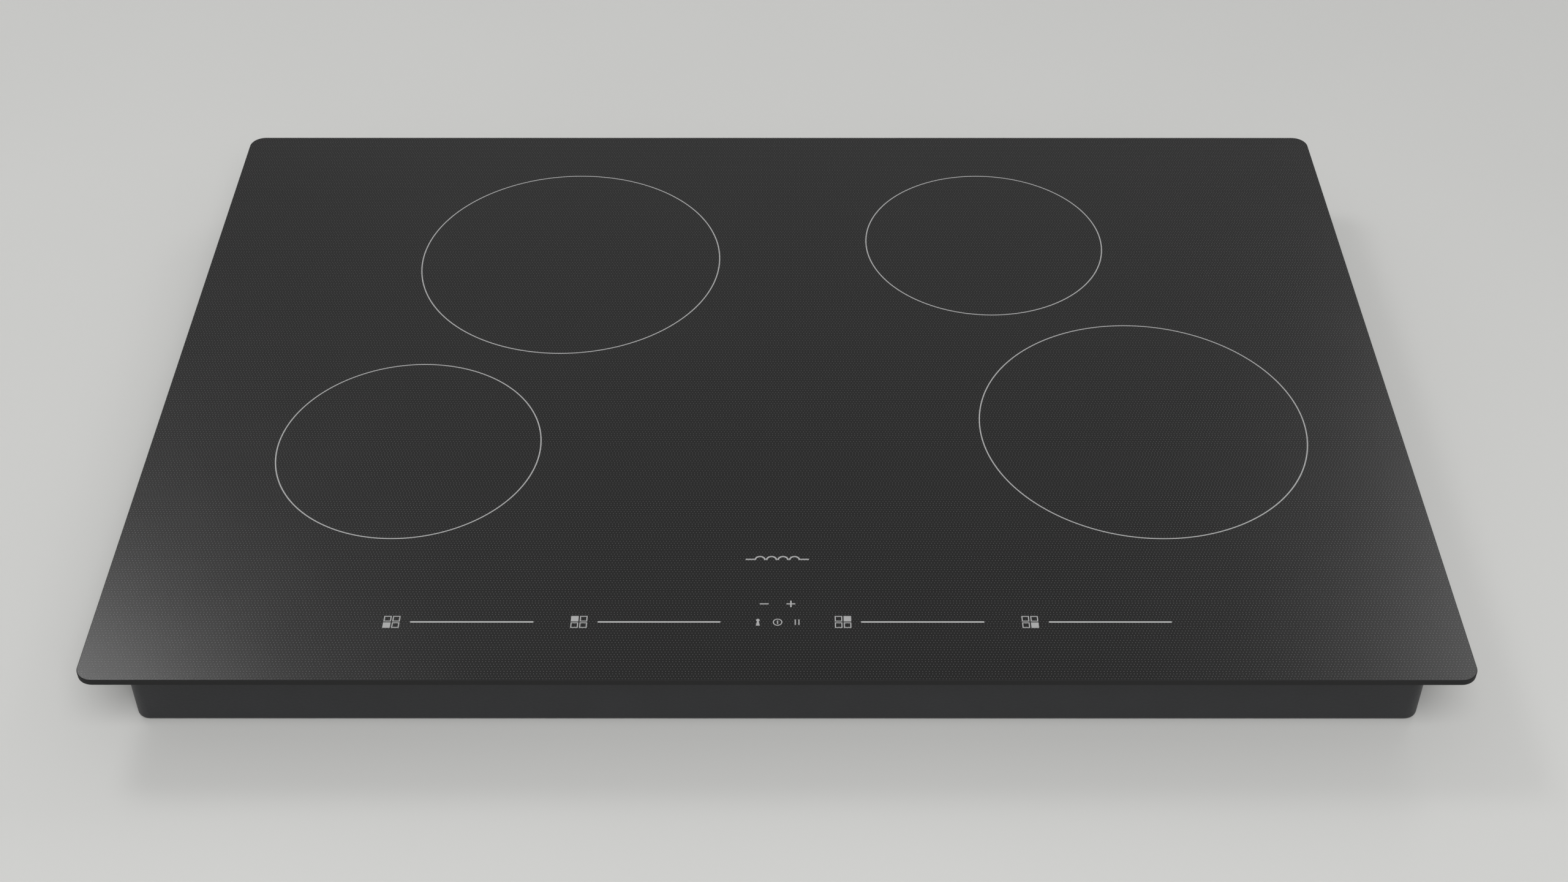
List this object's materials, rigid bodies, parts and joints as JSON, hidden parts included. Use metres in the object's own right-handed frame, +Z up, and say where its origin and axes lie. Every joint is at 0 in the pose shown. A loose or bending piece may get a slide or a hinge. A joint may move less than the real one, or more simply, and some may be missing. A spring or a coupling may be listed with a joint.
{
  "type": "induction cooktop",
  "caption": "Built-in electric induction cooktop: black glass top with cooking zones and touch controls over a sheet-metal chassis that holds coils, power electronics and fans.",
  "frame": {"origin": "centre of the glass outline, on the worktop plane (the underside of the sealing gasket)", "axes": "+Z up, +X to the cook's right along the long side, +Y to the rear, away from the cook"},
  "size_m": [0.764, 0.532, 0.0558],
  "materials": {
    "glass_ceramic": "gloss",
    "gasket_foam": "matte",
    "pan_coating": "satin",
    "zinc_steel": "satin",
    "spring_steel": "satin",
    "sheet_aluminium": "satin",
    "extruded_aluminium": "satin",
    "litz_copper": "satin",
    "coil_plastic": "matte",
    "ferrite": "matte",
    "mica": "satin",
    "sensor_ceramic": "matte",
    "glass_sleeving": "matte",
    "circuit_board": "satin",
    "black_plastic": "matte",
    "grey_plastic": "matte",
    "semiconductor": "matte",
    "capacitor_case": "satin",
    "connector_plastic": "satin",
    "choke_winding": "satin",
    "light_guide": "gloss",
    "ribbon_vinyl": "satin",
    "wire_insulation": "satin",
    "earth_insulation": "satin"
  },
  "bodies": {
    "chassis": {"board_connectors": "connector_plastic", "board_tray_left": "black_plastic", "board_tray_right": "black_plastic", "chassis_pan": "pan_coating", "clip_brackets": "zinc_steel", "earth_wire": "earth_insulation", "edge_gasket": "gasket_foam", "fan_housing_left": "black_plastic", "fan_housing_right": "black_plastic", "filter_board": "circuit_board", "filter_capacitors": "capacitor_case", "filter_choke": "choke_winding", "glass_bracket_screws": "zinc_steel", "glass_brackets": "zinc_steel", "glass_top": "glass_ceramic", "heat_sink_left": "extruded_aluminium", "heat_sink_right": "extruded_aluminium", "inner_screws": "zinc_steel", "plate_springs_left": "spring_steel", "plate_springs_right": "spring_steel", "power_board_left": "circuit_board", "power_board_right": "circuit_board", "power_transistors": "semiconductor", "resonance_capacitors": "capacitor_case", "ribbon_cable": "ribbon_vinyl", "spring_posts": "zinc_steel", "supply_wires": "wire_insulation", "terminal_block": "connector_plastic", "terminal_box": "black_plastic", "terminal_screws": "zinc_steel", "touch_springs": "spring_steel"},
    "coil_assembly_left": {"coil_plate_left": "sheet_aluminium", "coil_winding_left_rear": "litz_copper", "coil_winding_left_front": "litz_copper", "coil_formers_left": "coil_plastic", "ferrite_bars_left": "ferrite", "mica_sheets_left": "mica", "temperature_sensors_left": "sensor_ceramic", "coil_rivets_left": "zinc_steel", "coil_leads_left": "glass_sleeving"},
    "fan_left": {"fan_impeller_left": "black_plastic"},
    "clip_left_front": {"spring_clip_left_front": "spring_steel"},
    "clip_left_rear": {"spring_clip_left_rear": "spring_steel"},
    "coil_assembly_right": {"coil_plate_right": "sheet_aluminium", "coil_winding_right_rear": "litz_copper", "coil_winding_right_front": "litz_copper", "coil_formers_right": "coil_plastic", "ferrite_bars_right": "ferrite", "mica_sheets_right": "mica", "temperature_sensors_right": "sensor_ceramic", "coil_rivets_right": "zinc_steel", "coil_leads_right": "glass_sleeving"},
    "fan_right": {"fan_impeller_right": "black_plastic"},
    "clip_right_front": {"spring_clip_right_front": "spring_steel"},
    "clip_right_rear": {"spring_clip_right_rear": "spring_steel"},
    "touch_panel": {"touch_carrier": "grey_plastic", "touch_board": "circuit_board", "touch_pads": "light_guide"},
    "supply_cover": {"terminal_cover": "black_plastic"}
  },
  "joints": [
    {"name": "coil_slide_left", "type": "slide", "parent": "chassis", "child": "coil_assembly_left", "axis": [0, 0, -1], "range_m": [0, 0.003], "stiffness_N_per_m": 4500, "springref_m": -0.009, "deforming": ["plate_springs_left", "coil_leads_left"]},
    {"name": "coil_slide_right", "type": "slide", "parent": "chassis", "child": "coil_assembly_right", "axis": [0, 0, -1], "range_m": [0, 0.003], "stiffness_N_per_m": 4500, "springref_m": -0.009, "deforming": ["plate_springs_right", "coil_leads_right"]},
    {"name": "fan_spin_left", "type": "hinge", "parent": "chassis", "child": "fan_left", "pos_m": [-0.075, 0.138, -0.04], "axis": [0, 0, 1], "continuous": true},
    {"name": "fan_spin_right", "type": "hinge", "parent": "chassis", "child": "fan_right", "pos_m": [0.075, 0.138, -0.04], "axis": [0, 0, 1], "continuous": true},
    {"name": "touch_slide", "type": "slide", "parent": "chassis", "child": "touch_panel", "axis": [0, 0, -1], "range_m": [0, 0.002], "stiffness_N_per_m": 1500, "springref_m": -0.003, "deforming": ["touch_springs", "ribbon_cable"]},
    {"name": "supply_cover_hinge", "type": "hinge", "parent": "chassis", "child": "supply_cover", "pos_m": [0.2205, 0.2466, -0.0475], "axis": [-1, 0, 0], "range_deg": [0, 95]},
    {"name": "clip_flex_left_front", "type": "hinge", "parent": "chassis", "child": "clip_left_front", "pos_m": [-0.3653, -0.16, -0.042], "axis": [0, 1, 0], "range_deg": [0, 9], "stiffness_Nm_per_rad": 3, "springref_deg": -3.44},
    {"name": "clip_flex_left_rear", "type": "hinge", "parent": "chassis", "child": "clip_left_rear", "pos_m": [-0.3653, 0.16, -0.042], "axis": [0, 1, 0], "range_deg": [0, 9], "stiffness_Nm_per_rad": 3, "springref_deg": -3.44},
    {"name": "clip_flex_right_front", "type": "hinge", "parent": "chassis", "child": "clip_right_front", "pos_m": [0.3653, -0.16, -0.042], "axis": [0, -1, 0], "range_deg": [0, 9], "stiffness_Nm_per_rad": 3, "springref_deg": -3.44},
    {"name": "clip_flex_right_rear", "type": "hinge", "parent": "chassis", "child": "clip_right_rear", "pos_m": [0.3653, 0.16, -0.042], "axis": [0, -1, 0], "range_deg": [0, 9], "stiffness_Nm_per_rad": 3, "springref_deg": -3.44}
  ]
}
